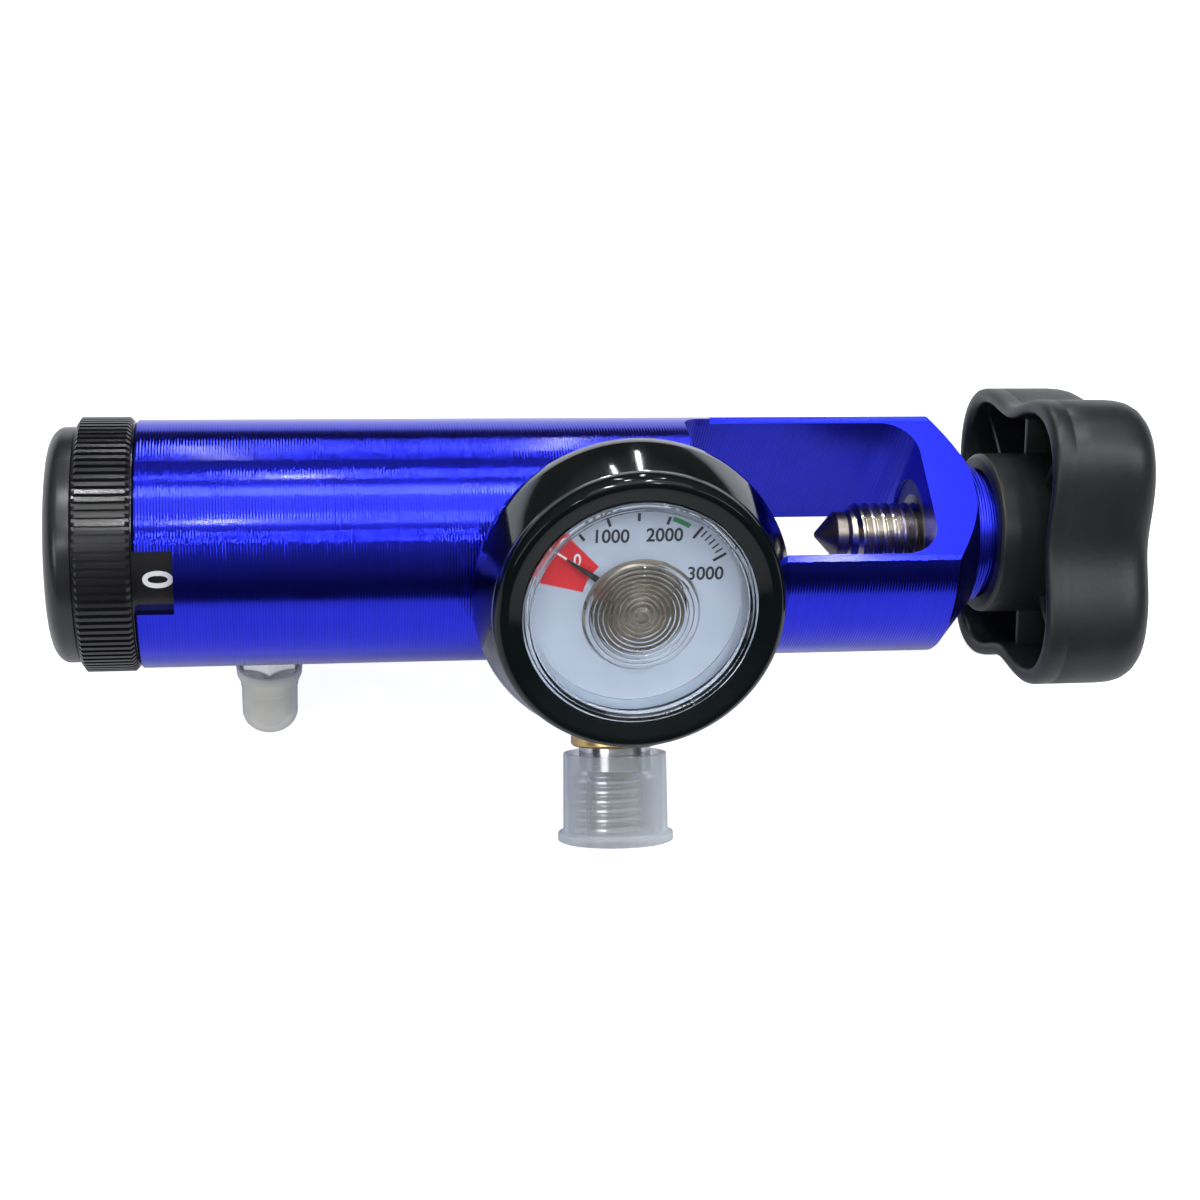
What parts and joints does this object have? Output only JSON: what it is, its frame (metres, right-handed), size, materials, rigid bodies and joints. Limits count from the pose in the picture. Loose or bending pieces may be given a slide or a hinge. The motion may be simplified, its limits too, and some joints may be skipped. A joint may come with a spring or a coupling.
{
  "type": "oxygen regulator",
  "caption": "Pin-index yoke oxygen regulator: blue turned barrel with flow dial, pressure gauge, capped outlets, clamp screw and lobed hand knob.",
  "frame": {"origin": "on the barrel's axis, where the cylinder valve's port face meets the sealing washer round the inlet nipple", "axes": "+X along the barrel's axis towards the hand knob, the way the valve post leaves the nipple; +Z square to the yoke's flats, away from the index pins' side; -Y towards the gauge"},
  "size_m": [0.1599, 0.0688, 0.0666],
  "materials": {
    "blue_anodised": "anodised, fine turned",
    "bare_brass": "turned",
    "bronze_sinter": "sintered",
    "seal_rubber": "moulded",
    "pin_steel": "ground",
    "seat_plastic": "moulded",
    "spring_steel": "drawn",
    "disc_steel": "lapped",
    "ball_steel": "polished",
    "black_knob": "ribbed, satin",
    "screw_steel": "machined thread",
    "black_cap": "smooth",
    "black_chrome": "black chrome",
    "black_bezel": "black chrome",
    "clear_lens": "clear moulded",
    "dial_white": "printed pale dial",
    "tube_bronze": "drawn",
    "pointer_black": "painted black",
    "hub_metal": "turned, plated",
    "plated_brass": "nickel plated",
    "clear_cap": "translucent",
    "warm_cap": "translucent",
    "bush_steel": "machined",
    "tip_steel": "hardened",
    "knob_plastic": "fine grain"
  },
  "bodies": {
    "regulator": {"body": "blue_anodised", "core": "bare_brass", "inlet_nipple": "bare_brass", "inlet_filter": "bronze_sinter", "seal_washer": "seal_rubber", "index_pins": "pin_steel", "stem_o_ring": "seal_rubber", "flow_seat": "bare_brass", "outlet_block": "bare_brass", "spindle_o_ring": "seal_rubber", "retaining_ring": "spring_steel", "detent_balls": "ball_steel", "detent_springs": "spring_steel", "gauge_case": "black_chrome", "gauge_bezel": "black_bezel", "gauge_lens": "clear_lens", "gauge_dial": "dial_white", "gauge_stem": "bare_brass", "bourdon_tube": "tube_bronze", "outlet_fitting": "plated_brass", "check_spring": "spring_steel", "hose_barb": "plated_brass", "thread_insert": "bush_steel", "piston_spring": "spring_steel"},
    "flow_selector": {"flow_knob": "black_knob", "knob_cap": "black_cap", "knob_screw": "screw_steel", "selector_spindle": "disc_steel", "orifice_disc": "disc_steel"},
    "piston_unit": {"piston": "bare_brass", "seat_pad": "seat_plastic", "piston_o_ring": "seal_rubber"},
    "needle": {"gauge_pointer": "pointer_black", "pointer_hub": "hub_metal", "pointer_arbor": "hub_metal"},
    "check_unit": {"check_poppet": "bare_brass"},
    "outlet_dust_cap": {"outlet_cap": "clear_cap"},
    "hose_dust_cap": {"barb_cap": "warm_cap"},
    "screw_point": {"screw_tip": "tip_steel"},
    "hand_screw": {"clamp_screw": "screw_steel", "hand_knob": "knob_plastic"}
  },
  "joints": [
    {"name": "flow_dial", "type": "hinge", "parent": "regulator", "child": "flow_selector", "pos_m": [-0.0822, 0, 0], "axis": [-1, 0, 0], "range_deg": [0, 330]},
    {"name": "piston_travel", "type": "slide", "parent": "regulator", "child": "piston_unit", "axis": [1, 0, 0], "range_m": [0, 0.0006], "stiffness_N_per_m": 1000, "springref_m": -0.003, "deforming": ["piston_spring"]},
    {"name": "needle_turn", "type": "hinge", "parent": "regulator", "child": "needle", "pos_m": [-0.01285, -0.02088, 0.01374], "axis": [0, 0.8353, -0.5498], "range_deg": [0, 120]},
    {"name": "check_travel", "type": "slide", "parent": "regulator", "child": "check_unit", "axis": [0, 0.8171, 0.5764], "range_m": [0, 0.0015], "stiffness_N_per_m": 40, "springref_m": -0.002, "deforming": ["check_spring"]},
    {"name": "outlet_cap_pull", "type": "slide", "parent": "regulator", "child": "outlet_dust_cap", "axis": [0, -0.8171, -0.5764], "range_m": [0, 0.016]},
    {"name": "hose_cap_pull", "type": "slide", "parent": "regulator", "child": "hose_dust_cap", "axis": [0, -0.4226, -0.9063], "range_m": [0, 0.012]},
    {"name": "clamp_travel", "type": "slide", "parent": "regulator", "child": "screw_point", "axis": [1, 0, 0], "range_m": [-0.0012, 0.014]},
    {"name": "clamp_turn", "type": "hinge", "parent": "screw_point", "child": "hand_screw", "pos_m": [0.05, 0, 0], "axis": [1, 0, 0], "range_deg": [-272, 3174]}
  ],
  "couplings": [
    {"joint": "clamp_travel", "follows": "clamp_turn", "m_per_rad": 0.00025266}
  ]
}
